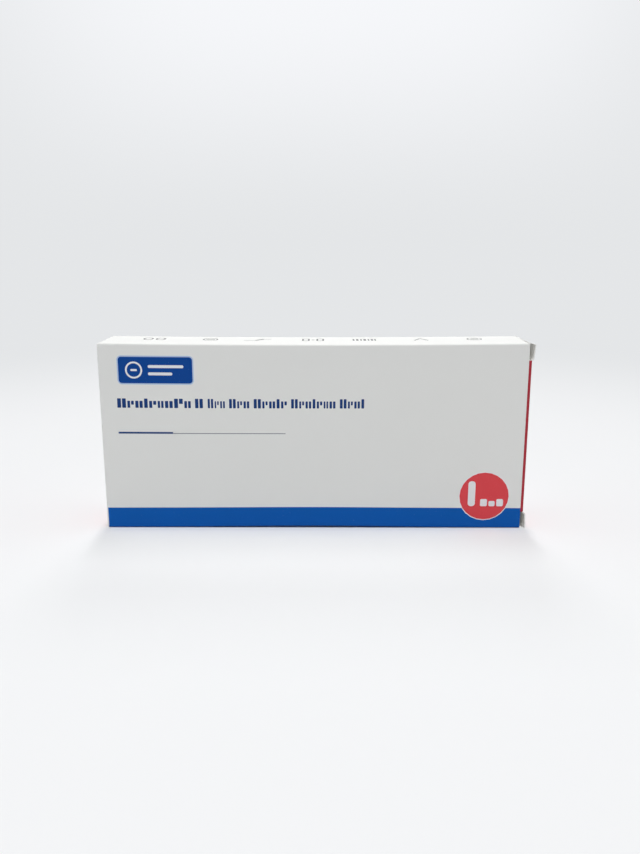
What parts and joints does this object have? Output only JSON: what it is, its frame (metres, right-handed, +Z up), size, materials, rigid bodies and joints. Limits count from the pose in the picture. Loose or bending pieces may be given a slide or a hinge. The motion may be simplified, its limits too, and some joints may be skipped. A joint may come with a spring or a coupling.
{
  "type": "tuck end folding carton",
  "caption": "Flat oblong folding carton for a single-use test kit, standing on its long narrow side, with a hinged tuck closure and dust flaps at each end.",
  "frame": {"origin": "middle of the face that the carton stands on, halfway along its length and depth", "axes": "+X along the length to the right-hand end, -Y out of the front panel, +Z up"},
  "size_m": [0.1466, 0.02, 0.065],
  "materials": {
    "white_board": "satin coated boxboard, printed",
    "red_board": "satin coated boxboard, printed red outside"
  },
  "bodies": {
    "carton": {"carton_body": "white_board"},
    "right_closure": {"right_end_closure": "red_board"},
    "left_closure": {"left_end_closure": "red_board"}
  },
  "joints": [
    {"name": "right_closure_fold", "type": "hinge", "parent": "carton", "child": "right_closure", "pos_m": [0.0723, 0.0098, 0.0325], "axis": [0, 0, 1], "range_deg": [-2.2, 167.8]},
    {"name": "left_closure_fold", "type": "hinge", "parent": "carton", "child": "left_closure", "pos_m": [-0.0723, -0.0098, 0.0325], "axis": [0, 0, 1], "range_deg": [0, 170]}
  ]
}
